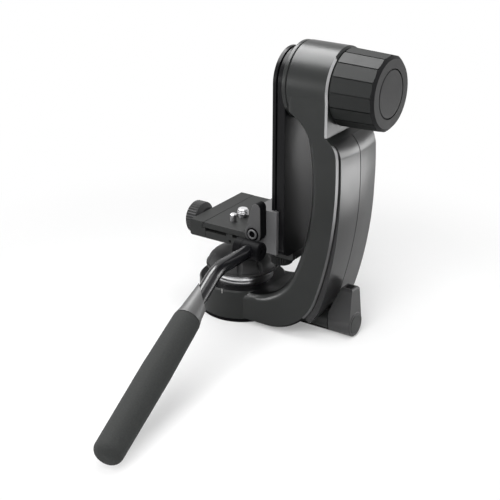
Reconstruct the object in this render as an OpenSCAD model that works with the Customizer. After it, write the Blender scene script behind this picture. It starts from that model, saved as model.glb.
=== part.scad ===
// Pan tilt head of the hanging kind: a pan base carries a C-shaped arm, a swing arm tilts in the
// arm's drum, and a quick-release platform and a pan bar ride on a carriage on the swing arm.
// Frame: millimetres, +Z up, origin on the pan axis at the floor, +X towards the tilt knob.

/* [Pan base] */
// Radius of the fixed foot
foot_r = 35.8; // [28:0.1:45]
// Thickness of the foot's rim
foot_h = 2.6; // [1.8:0.1:5]
// Thickness of the non-slip pad under the foot
pad_t = 1.2; // [0.6:0.1:1.6]
// Width of the non-slip pad's ring
pad_w = 10; // [6:0.5:13]
// Diameter of the tripod thread, three eighths of an inch
thread_d = 9.525; // [6.35:0.005:12]
// Outer radius of the threaded tripod bush
bush_r = 8; // [6.5:0.1:10]
// Radius of the foot's central post
post_r = 16; // [13:0.5:18]
// Height of the foot's central post
post_h = 12; // [9:0.5:16]
// Radius of the pan spindle
spindle_r = 7.5; // [5:0.1:9]
// Thickness of the spindle's flange
flange_t = 3; // [2:0.1:5]
// Radius of the screws that hold the spindle's flange
flange_screw_r = 1.5; // [1:0.1:2]
// Thickness of the thrust washer
washer_t = 0.3; // [0.2:0.05:0.6]
// Outer radius of the pan bushes
pan_bush_r = 11.5; // [10.5:0.1:13]
// Radius of the polished ring on the hub
ring_r = 25.5; // [22:0.5:29]
// Height of the polished ring
ring_h = 9.2; // [4:0.2:12]
// Wall of the polished ring
ring_wall = 8; // [4:0.5:10]
// Radius of the pan drag knob
drag_r = 30.5; // [26:0.5:36]
// Height of the pan drag knob
drag_h = 13.7; // [9:0.1:18]
// Number of grooves on the pan drag knob
drag_grooves = 10; // [6:1:16]

/* [C-arm] */
// Radius of the hub that turns on the foot
hub_r = 36.3; // [33:0.1:45]
// Height of the hub
hub_h = 25.3; // [23:0.1:32]
// Depth of the arm, front to back
arm_depth = 60; // [52:1:66]
// Height of the lower limb's underside above the hub's
limb_lift = 0.5; // [0.4:0.1:3]
// Depth of the lower limb's top below the hub's top
limb_drop = 0.3; // [0.2:0.1:3]
// Reach of the arm's inner edge beyond the drum's inner end
inner_reach = 22.6; // [20:0.1:26]
// Reach of the arm's outer edge beyond the drum's outer end
outer_reach = 10.8; // [9:0.2:14]
// Distance below the tilt axis at which the inner edge reaches furthest out
inner_bow_drop = 75; // [66:1:84]
// Distance below the tilt axis at which the outer edge reaches furthest out
outer_bow_drop = 65; // [58:1:74]
// Radius of the inner edge's long bow
inner_bow_r = 185; // [165:1:280]
// Radius of the outer edge's long bow
outer_bow_r = 318; // [280:1:400]
// Radius of the inner edge's lower corner
inner_low_r = 44; // [34:0.5:48]
// Radius of the inner edge's upper corner
inner_top_r = 36; // [30:0.5:42]
// Radius of the outer edge's lower corner
outer_low_r = 48; // [42:0.5:56]
// Radius of the shoulder under the tilt knob
shoulder_r = 18; // [12:0.5:20]
// Radius of the soft inner edge on the lower limb
limb_edge_r = 7; // [3:0.5:9]
// Radius of the soft inner edge at the top of the arm
top_edge_r = 5.5; // [3:0.1:7]
// Width of the bright chamfer along the outer edge
edge_chamfer = 1.5; // [1:0.1:3]
// Width of the bare strip between that chamfer and the spine covers
cover_strip = 1.5; // [0.6:0.1:3]
// Height of the spine covers' crown above the arm
crown_h = 3.9; // [3:0.1:7]
// Height of the spine covers at their outer edge
cover_edge_h = 1.8; // [1:0.1:2.8]
// Extra height of the spine covers towards their lower end
cover_swell = 3.6; // [0:0.1:4]

/* [Tilt drum and knob] */
// Length of the tilt drum
drum_len = 35.5; // [33:0.5:36]
// How far the drum stands proud of the arm's flat faces
drum_proud = 0.5; // [0.3:0.1:1.5]
// Height of the arm's opening below the tilt axis
head_drop = 12.5; // [10:0.5:16]
// Radius of the tilt shaft
shaft_r = 10; // [7:0.5:11]
// Outer radius of the tilt bearings
bearing_r = 16.5; // [14:0.5:19]
// Width of each tilt bearing
bearing_w = 8; // [5:0.5:10]
// Radius of the friction disc
disc_r = 23.5; // [21:0.5:25]
// Thickness of the friction disc
disc_t = 2.2; // [1.5:0.1:3]
// Radius of the shaft's threaded end
stud_r = 6; // [4:0.5:6.5]
// Radius of the tilt knob at the drum
knob_r = 29.8; // [26:0.1:31]
// Radius of the tilt knob at its end
knob_end_r = 28.6; // [24:0.2:29.4]
// Length of the tilt knob
knob_len = 36.2; // [30:0.1:42]
// Number of flats round the tilt knob
knob_flats = 16; // [12:1:24]
// Radius of the tilt knob's end cap
cap_r = 18.5; // [14:0.5:21]
// Thickness of the tilt knob's end cap
cap_t = 2.6; // [1.5:0.1:4]
// Outer radius of the threaded inserts in the knobs
insert_r = 11; // [9.5:0.5:13]

/* [Pan lock lever] */
// Radius of the lever's hub and of its boss on the arm
lever_r = 10.4; // [8:0.1:11]
// Height of the lever's hub above the floor
lever_gap = 0.6; // [0.3:0.1:3]
// Distance of the lever's hub inside the arm's outer edge beside the paddle's top
lever_inset = 1.3; // [0:0.1:6]
// Length of the lever's hub
lever_len = 20.3; // [18:0.1:26]
// Height of the lever's paddle above its axis
paddle_h = 31.5; // [24:0.5:38]
// Radius of the brake rod
rod_r = 4; // [2.5:0.1:5]
// Radius of the round inlay in the lever's end
inlay_r = 8.2; // [5:0.1:8.4]

/* [Swing arm] */
// Width of the swing arm, front to back
swing_w = 49; // [44:0.5:52]
// Thickness of the swing arm
swing_t = 6.6; // [5:0.1:8]
// Thickness of the rail plate
rail_t = 2.8; // [2:0.1:4]
// Width of the groove between the swing arm and the rail plate
groove_w = 1.6; // [1.4:0.1:2.4]
// Depth of that groove
groove_d = 3; // [2:0.1:5]
// Radius of the swing arm's lower corners
swing_corner = 11; // [5:0.5:12]
// Thickness of the spacer ring between the swing arm and the drum
spacer_t = 3.6; // [2:0.1:4.5]
// Radius of the lead screw
screw_r = 3; // [2:0.1:3.4]
// Distance between the pan drag knob's rim and the lead screw's axis
screw_gap = 8.1; // [8:0.1:14]
// Wall of the lead nut
nut_wall = 1.3; // [1:0.1:2]
// Height of the lead nut
nut_h = 12; // [8:0.5:20]
// Wall of the carriage between the lead nut and the rail
nut_back = 0.9; // [0.6:0.1:2]
// Thickness of the bracket that holds the lead screw
bracket_h = 7; // [4:0.5:8]
// Half width of that bracket
bracket_r = 9; // [7:0.5:12]
// Radius of the height knob
height_knob_r = 9; // [7:0.5:11]
// Height of the height knob
height_knob_h = 7.5; // [5:0.5:8]

/* [Carriage and clamp] */
// Distance of the platform's top below the tilt axis
camera_drop = 121; // [108:1:136]
// Gap between the pan drag knob and the platform
platform_gap = 19.14; // [18:0.02:26]
// Travel of the carriage below its usual place
slide_down = 3; // [2:0.5:6]
// Travel of the carriage above its usual place
slide_up = 45; // [30:1:50]
// Room left under the carriage at the lower end of its travel
end_room = 1.0; // [1:0.1:4]
// Length of lead screw left above the carriage at the upper end of its travel
screw_room = 7; // [4:0.5:10]
// Depth of the carriage's lower end below the platform's
carriage_drop = 3.5; // [1:0.1:6]
// Thickness of the carriage's back plate
carriage_t = 13.6; // [12:0.2:15]
// Height of the carriage
carriage_h = 36; // [32:1:42]
// Thickness of the carriage's cheeks
cheek_t = 3.2; // [2.4:0.1:4]
// Height of the platform
platform_h = 13.4; // [11:0.1:15]
// Length of the platform, front to back
platform_len = 73; // [62:1:80]
// Width of the fixed jaw
fixed_jaw_w = 6.5; // [5:0.1:9]
// Width of the moving jaw
jaw_w = 13.5; // [10:0.5:16]
// Radius of the clamp knob
clamp_knob_r = 13.6; // [10:0.1:16]
// Width of the clamp knob
clamp_knob_w = 13.2; // [9:0.2:16]
// Distance of the clamp screw in front of the pan axis
clamp_y = 13; // [8:1:18]
// Radius of the clamp screw
clamp_screw_r = 2.5; // [1.8:0.1:2.8]
// Radius of the jaw's guide pins
guide_r = 2; // [1.5:0.1:2.4]
// Depth of the guide pins in the bed
guide_len = 13.5; // [9:0.5:16]
// Distance of the guide pins from the platform's ends
guide_end = 13; // [9:0.5:16]
// Thickness of the jaw in front of the guide pins
guide_cover = 2.5; // [1.5:0.1:4]
// Depth of the clamp screw and the guide pins below the plate's seat
guide_drop = 3; // [2.9:0.1:3.4]
// Radius of the quick-release lever round its pivot
tear_r = 7.2; // [6:0.1:8]
// Radius of the quick-release lever's tip
tear_tip_r = 4; // [2:0.1:4.6]
// Distance from the quick-release lever's pivot to its tip
tear_len = 22; // [16:0.5:26]
// Depth of the quick-release lever, front to back
tear_t = 9.2; // [7:0.1:10]
// Radius of the socket-head pivot screws
pivot_r = 3; // [2:0.1:3.4]
// Length of the lever's pivot screw in the carriage
pivot_len = 9.5; // [6:0.5:12]

/* [Small screws] */
// Radius of the screws that hold the rail plate
rail_screw_r = 2; // [1.5:0.1:2.5]
// Height of the rail screws' heads
rail_head_h = 1.6; // [1.2:0.1:2]
// Distance of the lower rail screws above the swing arm's end
rail_screw_low = 14; // [11:0.5:20]
// Distance of the upper rail screws below the tilt axis
rail_screw_top = 42; // [36:1:50]
// Radius of the screws that hold the clamp to the carriage
carriage_screw_r = 2; // [1.5:0.1:2.5]
// Length of those screws in the clamp
carriage_screw_len = 7.5; // [5:0.5:10]
// Depth of the sunk heads of those screws
carriage_head_h = 3; // [2:0.2:4]
// Length of the spindle's screws in the post
flange_screw_len = 5; // [4:0.5:7]
// Radius of the screws that hold the lead screw's bracket
bracket_screw_r = 1.5; // [1:0.1:2]
// Length of the bracket screws in the swing arm
bracket_screw_len = 8; // [6:0.5:12]
// Pitch of the bracket screws
bracket_screw_pitch = 10; // [8:0.5:12]

/* [Quick-release plate] */
// Width of the plate's top
plate_w = 37; // [34:0.5:39]
// Thickness of the plate
plate_t = 4.8; // [4:0.1:5.4]
// How much wider the dovetail is at its foot, on each side
dovetail = 2.2; // [1:0.1:3]
// Radius of the camera screw
camera_screw_r = 4.7; // [3:0.1:5]
// Height of the camera screw above the plate
camera_screw_h = 6.5; // [3:0.5:9]
// Depth of the relief under the camera screw's thread
screw_relief = 0.5; // [0.3:0.1:1]
// Distance of the camera screw in front of the plate's middle
camera_screw_y = 7.5; // [0:0.5:12]
// Distance between the camera screw and the video pin
pin_pitch = 14; // [12:0.5:18]
// Radius of the video pin
pin_r = 2.7; // [1.5:0.1:3]
// Height of the video pin above the plate
pin_h = 6.6; // [4:0.1:7]

/* [Pan bar] */
// Radius of the bar's hub
bar_hub_r = 7.5; // [6.8:0.1:8]
// Radius of the bar's tube
bar_r = 5.5; // [4.5:0.1:6.3]
// Distance from the bar's pivot to its bend
bar_reach = 55; // [44:1:62]
// Angle by which the bar rises up to its bend
bar_rise = 5; // [0:1:12]
// Angle of the bar's bend
bar_bend = 27.5; // [15:0.5:32]
// Radius of the bar's bend
bar_bend_r = 45; // [24:1:56]
// Angle by which the bar leans towards the tilt knob
bar_yaw = 6.2; // [0:0.2:9]
// Angle by which the bend's plane leans towards the tilt knob
bar_roll = 4.6; // [0:0.2:8]
// Distance from the bend to the collar
bar_run = 17; // [14:1:30]
// Length of the tapered collar
collar_len = 35; // [24:1:40]
// Radius of the collar where it meets the grip
collar_r = 10.1; // [9:0.1:12]
// Length of the grip
grip_len = 128; // [100:1:135]
// Radius of the grip in its middle
grip_r = 11.3; // [10:0.1:13]
// Length of tube held inside the grip
grip_tube = 60; // [40:1:90]

/* [Clearances] */
// Radial clearance of a running fit
run_clear = 0.06; // [0.02:0.01:0.1]
// Clearance between faces that slide or turn past each other
face_clear = 0.3; // [0.2:0.05:0.5]
// Radial clearance of a fixed screw or sleeve in its hole
fix_clear = 0.1; // [0.05:0.05:0.2]
// Width of the seam between the spine covers
seam_w = 0.8; // [0.4:0.1:1.5]
// Clearance between the shoulder and the tilt knob
shoulder_clear = 1.6; // [1:0.1:4]

/* [Hidden] */
$fn = 64;
overcut = 1;
knob_phase = -6;

charcoal = [0.20, 0.20, 0.21];
rubber = [0.16, 0.16, 0.16];
grey = [0.42, 0.42, 0.43];
steel = [0.75, 0.75, 0.76];
bronze = [0.66, 0.48, 0.27];

// Heights of the pan base's stack
hub_z = foot_h + washer_t + run_clear;
hub_top = hub_z + hub_h;
flange_top = post_h + flange_t;
cavity_top = flange_top + 2 * face_clear;
ring_top = hub_top + ring_h;
drag_z = ring_top + face_clear;
drag_top = drag_z + drag_h;
spring_r = ring_r - ring_wall;
insert_h = drag_h * 0.6;
pan_bush_len = (hub_top - cavity_top) * 0.45;
spindle_top = drag_z + insert_h - face_clear;

// Places along the tilt axis, from the lead screw beside the drag knob out to the tilt knob
screw_x = drag_r + screw_gap;
nut_r = screw_r + nut_wall;
carriage_x = screw_x + nut_r + nut_back - carriage_t;
rail_x = carriage_x + carriage_t + face_clear;
swing_x = rail_x + rail_t + groove_w;
spacer_x = swing_x + swing_t;
drum_x = spacer_x + spacer_t + face_clear;
neck_x = drum_x + drum_len;
knob_x = neck_x + 2 * face_clear;
knob_end = knob_x + knob_len;
insert_len = knob_len * 0.45;
stud_end = knob_x + knob_len * 0.8;

// Heights of the platform and of the tilt axis above it
platform_z = drag_top + platform_gap;
plate_top = platform_z + platform_h;
tilt_z = plate_top + camera_drop;

// Circles of the arm's edges, in X and Z: each corner circle touches its bow from inside
half = arm_depth / 2;
limb_z = hub_z + limb_lift;
limb_top = hub_top - limb_drop;
drum_r = half + drum_proud;
inner_x = drum_x + inner_reach;
outer_x = neck_x + outer_reach;
inner_bow = [inner_x - inner_bow_r, tilt_z - inner_bow_drop];
outer_bow = [outer_x - outer_bow_r, tilt_z - outer_bow_drop];
inner_low = corner(inner_bow, inner_bow_r, inner_low_r, limb_top + inner_low_r);
inner_top = corner(inner_bow, inner_bow_r, inner_top_r, tilt_z - head_drop - inner_top_r);
outer_low = corner(outer_bow, outer_bow_r, outer_low_r, limb_z + outer_low_r);
shoulder_z = tilt_z - knob_r - shoulder_clear - shoulder_r;
shoulder = corner(outer_bow, outer_bow_r, shoulder_r, shoulder_z);
inner_low_a = heading(inner_bow, inner_low);
inner_top_a = heading(inner_bow, inner_top);
outer_low_a = heading(outer_bow, outer_low);
shoulder_a = heading(outer_bow, shoulder);
inner_end_a = acos((drum_x - inner_top[0]) / inner_top_r);
shoulder_end_a = acos(max(neck_x - shoulder[0], 0) / shoulder_r);
lever_z = lever_r + lever_gap;
lever_x = outer_at(lever_z + paddle_h) - lever_inset;

// Steps along each stretch of the arm, and the stretch that the spine covers run over
low_steps = 12;
bow_steps = 14;
top_steps = 10;
cover_from = low_steps - 3;
cover_to = low_steps + bow_steps + top_steps - 2;
inner_edge = concat(
    [[0, limb_top]],
    arc(inner_low, inner_low_r, -90, inner_low_a, low_steps),
    tail(arc(inner_bow, inner_bow_r, inner_low_a, inner_top_a, bow_steps)),
    tail(arc(inner_top, inner_top_r, inner_top_a, inner_end_a, top_steps)),
    [[drum_x, tilt_z]]
);
outer_edge = concat(
    [[0, limb_z]],
    arc(outer_low, outer_low_r, -90, outer_low_a, low_steps),
    tail(arc(outer_bow, outer_bow_r, outer_low_a, shoulder_a, bow_steps)),
    tail(arc(shoulder, shoulder_r, shoulder_a, shoulder_end_a, top_steps)),
    [[neck_x, tilt_z]]
);

// Places of the swing arm, the carriage and the lead screw
swing_r = swing_w / 2;
plate_z = plate_top - plate_t;
seat_z = plate_z - 0.2;
platform_y = platform_len / 2;
carriage_y = swing_r + face_clear + cheek_t;
carriage_z = platform_z - carriage_drop;
swing_bottom = carriage_z - slide_down - end_room;
lip_clear = 0.2;
screw_top = carriage_z + carriage_h + slide_up + screw_room;
height_knob_z = swing_bottom - bracket_h - face_clear - height_knob_h;
rail_screw_len = rail_t + groove_w + swing_t * 0.7;
rail_head_r = rail_screw_r * 1.8;
carriage_head_r = carriage_screw_r * 1.8;

// Places of the clamp and of the quick-release lever
plate_x = carriage_x - fixed_jaw_w - plate_w / 2;
plate_left = plate_x - plate_w / 2;
plate_right = plate_x + plate_w / 2;
jaw_right = plate_left + 1.3;
jaw_left = plate_left - jaw_w;
clamp_z = platform_z + platform_h / 2;
guide_y = platform_y - guide_end;
guide_z = seat_z - guide_drop;
tear_x = carriage_x + 4.2;
tear_z = plate_top + 0.6;
tear_lean = 8;
tear_back = -carriage_y - face_clear;
tear_front = tear_back - tear_t;
pivot_head_r = pivot_r * 1.7;

// Places of the pan bar
bar_y = tear_front - face_clear - 0.3 - bar_hub_r;
bar_z = clamp_z - 1.75;
lug_x = plate_right + dovetail;
lug_w = 6.4;
hub_x = lug_x + lug_w + face_clear;
hub_w = 16;
bar_x = hub_x + bar_r + 0.6;
bar_start = bar_hub_r * 0.62;
bar_screw_r = pivot_r * 0.8;
neck_top = tear_z - tear_r - 2 * face_clear;
bend_tangent = bar_bend_r * tan(bar_bend / 2);
bar_points = concat(
    [[0, 0], [bar_reach - bend_tangent, 0]],
    tail(arc([bar_reach - bend_tangent, -bar_bend_r], bar_bend_r, 90, 90 - bar_bend, 10)),
    [along_bend(bar_run + collar_len + grip_tube)]
);

// Centre of a circle of radius r that touches a bow from inside, at height z
function corner(bow, bow_r, r, z) = [bow[0] + sqrt(pow(bow_r - r, 2) - pow(z - bow[1], 2)), z];

// Angle at which a bow meets that circle
function heading(bow, c) = atan2(c[1] - bow[1], c[0] - bow[0]);

// X of a circle's right side at height z, and of the arm's outer edge
function side_at(c, r, z) = c[0] + sqrt(pow(r, 2) - pow(z - c[1], 2));
function outer_at(z) =
    z < outer_low[1] + outer_low_r * sin(outer_low_a) ?
        side_at(outer_low, outer_low_r, z) : side_at(outer_bow, outer_bow_r, z);

// Points of an arc from angle a0 to a1
function arc(c, r, a0, a1, n) =
    [for (i = [0 : n]) let (a = a0 + (a1 - a0) * i / n) [c[0] + r * cos(a), c[1] + r * sin(a)]];

// A list without its first item
function tail(list) = [for (i = [1 : len(list) - 1]) list[i]];

// Share t of the way from a to b
function mix(a, b, t) = a + (b - a) * t;

// Point on the bar's second straight, at a distance past the bend's corner
function along_bend(d) = [bar_reach + d * cos(bar_bend), -d * sin(bar_bend)];

// Outline of a plate with a round top at the tilt axis and round lower corners, in Y and Z
function swing_outline(inset) = concat(
    arc([0, tilt_z], swing_r - inset, 0, 180, 32),
    arc([-swing_r + swing_corner, swing_bottom + swing_corner], swing_corner - inset, 180, 270, 8),
    arc([swing_r - swing_corner, swing_bottom + swing_corner], swing_corner - inset, 270, 360, 8)
);

// Outline of two circles and the tangents that join them, standing on the first
function tear_outline(r0, r1, d) =
    let (a = acos((r0 - r1) / d))
    concat(arc([0, 0], r0, 90 + a, 450 - a, 28), arc([0, d], r1, 90 - a, 90 + a, 14));

// Outline with n teeth of a given depth
function knurl(r, depth, n) =
    [for (i = [0 : 2 * n - 1]) let (q = r - depth * (i % 2)) [q * cos(i * 180 / n), q * sin(i * 180 / n)]];

// Triangles over a tube of sections that all have m points
function tube_faces(count, m) = concat(
    [for (i = [0 : count - 2], j = [0 : m - 1]) [i * m + j, i * m + (j + 1) % m, (i + 1) * m + j]],
    [for (i = [0 : count - 2], j = [0 : m - 1])
        [i * m + (j + 1) % m, (i + 1) * m + (j + 1) % m, (i + 1) * m + j]],
    [[for (j = [m - 1 : -1 : 0]) j]],
    [[for (j = [0 : m - 1]) (count - 1) * m + j]]
);

// Section of the arm at one station: distance from the inner edge, and Y
function arm_half_section(length, edge_r) = concat(
    [for (a = [0 : 30 : 90]) [edge_r - edge_r * cos(a), half - edge_r + edge_r * sin(a)]],
    [[length - edge_chamfer, half], [length, half - edge_chamfer]]
);
function mirrored(section) = [for (i = [len(section) - 1 : -1 : 0]) [section[i][0], -section[i][1]]];
function arm_section(i) =
    let (a = inner_edge[i], b = outer_edge[i], length = norm(b - a), d = (b - a) / length)
    let (edge_r = mix(limb_edge_r, top_edge_r, i / (len(inner_edge) - 1)))
    let (front = arm_half_section(length, edge_r))
    [for (p = concat(front, mirrored(front))) [a[0] + d[0] * p[0], p[1], a[1] + d[1] * p[0]]];

// Section of the front spine cover at one station
function cover_rise(i) =
    let (start = low_steps + bow_steps - 4)
    i <= start ? 1 : mix(1, 0.3, (i - start) / (top_steps + 2));
function cover_low(i) = cover_swell * min(1, max(0, (low_steps + 11 - i) / 10));
function cover_section(i) =
    let (a = inner_edge[i], b = outer_edge[i], d = (b - a) / norm(b - a))
    let (edge_y = -(half - edge_chamfer - cover_strip), seam_y = -seam_w / 2, k = cover_rise(i))
    let (edge_h = cover_edge_h + cover_low(i), swell = crown_h + cover_low(i) * 0.35 - edge_h)
    let (crown = [for (t = [0 : 0.25 : 1]) [edge_h + swell * sin(90 * t), mix(edge_y, seam_y, t)]])
    [for (p = concat([[0, edge_y]], crown, [[0, seam_y]]))
        [b[0] + d[0] * p[0] * k, p[1], b[1] + d[1] * p[0] * k]];

// Rings of the bar's tube, in the bar's own plane
bar_sides = 20;
function bar_heading(i) = i <= 1 ? 0 : i >= len(bar_points) - 2 ? -bar_bend : -bar_bend * (i - 1) / 10;
function bar_ring(i) = let (h = bar_heading(i), c = bar_points[i])
    [for (j = [0 : bar_sides - 1]) let (a = 360 * j / bar_sides, u = bar_r * cos(a), v = bar_r * sin(a))
        [c[0] - u * sin(h), v, c[1] + u * cos(h)]];

module rod_x(x0, x1, r, y = 0, z = tilt_z) {
    translate([x0, y, z]) rotate([0, 90, 0]) cylinder(r = r, h = x1 - x0);
}

module rod_y(y0, y1, r, x, z) {
    translate([x, y1, z]) rotate([90, 0, 0]) cylinder(r = r, h = y1 - y0);
}

module tube_x(x0, x1, outer, inner, y = 0, z = tilt_z) {
    difference() {
        rod_x(x0, x1, outer, y, z);
        rod_x(x0 - overcut, x1 + overcut, inner, y, z);
    }
}

module tube_z(z0, z1, outer, inner, x = 0, y = 0) {
    translate([x, y, z0]) difference() {
        cylinder(r = outer, h = z1 - z0);
        translate([0, 0, -overcut]) cylinder(r = inner, h = z1 - z0 + 2 * overcut);
    }
}

// A body turned about the line X at the tilt axis from a profile of radius and X
module turned_x(profile, y = 0, z = tilt_z) {
    translate([0, y, z]) rotate([0, 90, 0]) rotate_extrude() polygon(profile);
}

// A plate from an outline in Y and Z
module plate_yz(x0, x1) {
    translate([x0, 0, 0]) rotate([90, 0, 90]) linear_extrude(x1 - x0) children();
}

// A plate from an outline in X and Z
module plate_xz(y0, y1) {
    translate([0, y1, 0]) rotate([90, 0, 0]) linear_extrude(y1 - y0) children();
}

module block(x0, x1, y0, y1, z0, z1) {
    translate([x0, y0, z0]) cube([x1 - x0, y1 - y0, z1 - z0]);
}

// Places round the post of the screws through the spindle's flange
module at_flange_screws() {
    for (a = [60 : 120 : 300]) rotate([0, 0, a]) translate([(spindle_r + post_r - 1) / 2, 0, 0]) children();
}

// Places along the rail plate of its screws
module at_rail_screws() {
    for (y = [-1, 1], z = [swing_bottom + rail_screw_low, tilt_z - rail_screw_top])
        translate([rail_x, y * swing_r * 0.5, z]) children();
}

// Places under the swing arm of the screws that hold the lead screw's bracket
module at_bracket_screws() {
    for (s = [-1, 1])
        translate([swing_x + swing_t / 2, s * bracket_screw_pitch / 2, swing_bottom]) children();
}

// Places of the screws that hold the clamp base to the carriage
module at_carriage_screws() {
    for (y = [-1, 1]) translate([0, y * carriage_y * 0.64, clamp_z - 2]) children();
}

module foot() {
    pad_r = foot_r - 3;
    color(charcoal) difference() {
        union() {
            rotate_extrude() polygon([
                [0, 0], [foot_r - 0.6, 0], [foot_r, 0.6], [foot_r, foot_h - 0.4],
                [foot_r - 0.4, foot_h], [0, foot_h]
            ]);
            cylinder(r = post_r, h = post_h);
        }
        translate([0, 0, -overcut]) cylinder(r = bush_r + fix_clear, h = post_h + 2 * overcut);
        tube_z(-overcut, pad_t, pad_r, pad_r - pad_w);
        at_flange_screws() translate([0, 0, post_h - flange_screw_len - 0.5])
            cylinder(r = flange_screw_r + fix_clear, h = flange_screw_len + overcut);
    }
}

module foot_pad() {
    pad_r = foot_r - 3;
    color(rubber) tube_z(0, pad_t, pad_r - fix_clear, pad_r - pad_w + fix_clear);
}

module tripod_bush() {
    color(bronze) tube_z(0, post_h, bush_r, thread_d / 2);
}

module pan_spindle() {
    color(steel) difference() {
        union() {
            translate([0, 0, post_h]) cylinder(r = post_r - 1, h = flange_t);
            translate([0, 0, post_h]) cylinder(r = spindle_r, h = spindle_top - post_h);
        }
        at_flange_screws() translate([0, 0, post_h - overcut])
            cylinder(r = flange_screw_r + fix_clear, h = flange_t + 2 * overcut);
        at_flange_screws() translate([0, 0, flange_top - flange_screw_r])
            cylinder(r = flange_screw_r * 1.8 + fix_clear, h = flange_screw_r + overcut);
    }
}

module spindle_screws() {
    color(steel) at_flange_screws() {
        translate([0, 0, post_h - flange_screw_len])
            cylinder(r = flange_screw_r, h = flange_screw_len + flange_t - flange_screw_r);
        translate([0, 0, flange_top - flange_screw_r])
            cylinder(r = flange_screw_r * 1.8, h = flange_screw_r);
    }
}

module thrust_washer() {
    color(bronze) tube_z(foot_h, foot_h + washer_t, foot_r - 2, post_r + 4);
}

// The loft of the arm, from inside the hub to the tilt axis
module arm_loft() {
    sections = [for (i = [0 : len(inner_edge) - 1]) arm_section(i)];
    m = len(sections[0]);
    polyhedron([for (s = sections) each s], tube_faces(len(sections), m), convexity = 8);
}

module c_arm() {
    bearing_shoulder = drum_x + bearing_w;
    color(charcoal) difference() {
        union() {
            arm_loft();
            turned_x([
                [0, drum_x], [drum_r - 0.8, drum_x], [drum_r, drum_x + 0.8],
                [drum_r, neck_x - edge_chamfer], [drum_r - edge_chamfer, neck_x], [0, neck_x]
            ]);
            rotate_extrude() polygon([
                [0, hub_z], [hub_r - 0.5, hub_z], [hub_r, hub_z + 0.5],
                [hub_r, hub_top - 1.2], [hub_r - 1.2, hub_top], [0, hub_top]
            ]);
            rod_x(outer_low[0] + 8, lever_x - face_clear, lever_r, 0, lever_z);
        }
        translate([0, 0, hub_z - overcut]) cylinder(r = post_r + 4, h = cavity_top - hub_z + overcut);
        translate([0, 0, hub_z]) cylinder(r = pan_bush_r, h = hub_h + overcut);
        rod_x(drum_x - overcut, neck_x + overcut, shaft_r + 3);
        rod_x(drum_x - overcut, bearing_shoulder, bearing_r);
        rod_x(neck_x - disc_t - bearing_w, neck_x + overcut, bearing_r);
        rod_x(neck_x - disc_t, neck_x + overcut, disc_r + fix_clear);
        rod_x(post_r, lever_x, rod_r + run_clear, 0, lever_z);
    }
}

module spine_cover_front() {
    sections = [for (i = [cover_from : cover_to]) cover_section(i)];
    m = len(sections[0]);
    color(grey) difference() {
        polyhedron([for (s = sections) each s], tube_faces(len(sections), m), convexity = 6);
        rod_x(outer_low[0], outer_x, lever_r + face_clear, 0, lever_z);
    }
}

module spine_cover_rear() {
    color(grey) mirror([0, 1, 0]) spine_cover_front();
}

module pan_bush_lower() {
    color(bronze) tube_z(cavity_top, cavity_top + pan_bush_len, pan_bush_r, spindle_r + run_clear);
}

module pan_bush_upper() {
    color(bronze) tube_z(hub_top - pan_bush_len, hub_top, pan_bush_r, spindle_r + run_clear);
}

module accent_ring() {
    edge = 0.6;
    color(steel) rotate_extrude() polygon([
        [spring_r, hub_top], [ring_r - edge, hub_top], [ring_r, hub_top + edge],
        [ring_r, ring_top - edge], [ring_r - edge, ring_top], [spring_r, ring_top]
    ]);
}

// Three disc springs, each a shallow cone that stands on the next
module disc_springs() {
    pitch = (ring_h - 2 * run_clear) / 3;
    thick = pitch * 0.45;
    inner = spindle_r + 0.5;
    outer = spring_r - 0.5;
    color(steel) for (i = [0 : 2]) translate([0, 0, hub_top + pitch * i]) rotate_extrude() polygon([
        [inner, pitch - thick], [outer, 0], [outer, thick], [inner, pitch]
    ]);
}

module tilt_bearing_inner() {
    color(steel) tube_x(drum_x + 0.2, drum_x + bearing_w, bearing_r, shaft_r + run_clear);
}

module tilt_bearing_outer() {
    color(steel) tube_x(neck_x - disc_t - bearing_w, neck_x - disc_t - 0.1, bearing_r, shaft_r + run_clear);
}

module friction_disc() {
    color(rubber) tube_x(neck_x - disc_t, neck_x + face_clear, disc_r, shaft_r + 0.4);
}

module brake_pad() {
    color(bronze) difference() {
        rod_x(post_r - 2, post_r + 5, rod_r, 0, lever_z);
        translate([0, 0, hub_z]) cylinder(r = post_r + face_clear, h = hub_h);
    }
}

module drag_knob() {
    rim_h = 2.4;
    dome_r = drag_r - 1.5;
    top_r = drag_r * 0.42;
    dome = [for (a = [0 : 10 : 90])
        [top_r + (dome_r - top_r) * cos(a), drag_z + rim_h + (drag_h - rim_h) * sin(a)]];
    color(rubber) difference() {
        rotate_extrude() polygon(concat(
            [[0, drag_z], [drag_r - 0.6, drag_z], [drag_r, drag_z + 0.6], [drag_r, drag_z + rim_h - 0.4]],
            [[drag_r - 0.4, drag_z + rim_h]], dome, [[0, drag_top]]
        ));
        translate([0, 0, drag_z - overcut]) cylinder(r = insert_r, h = insert_h + overcut);
        for (i = [0 : drag_grooves - 1]) rotate([0, 0, 360 * (i + 0.3) / drag_grooves])
            translate([drag_r + 1, 0, drag_z + rim_h]) rotate([0, -32, 0])
                cylinder(r = 2.6, h = 2 * drag_h);
    }
}

module drag_insert() {
    color(bronze) tube_z(drag_z, drag_z + insert_h, insert_r, spindle_r + run_clear);
}

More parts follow.
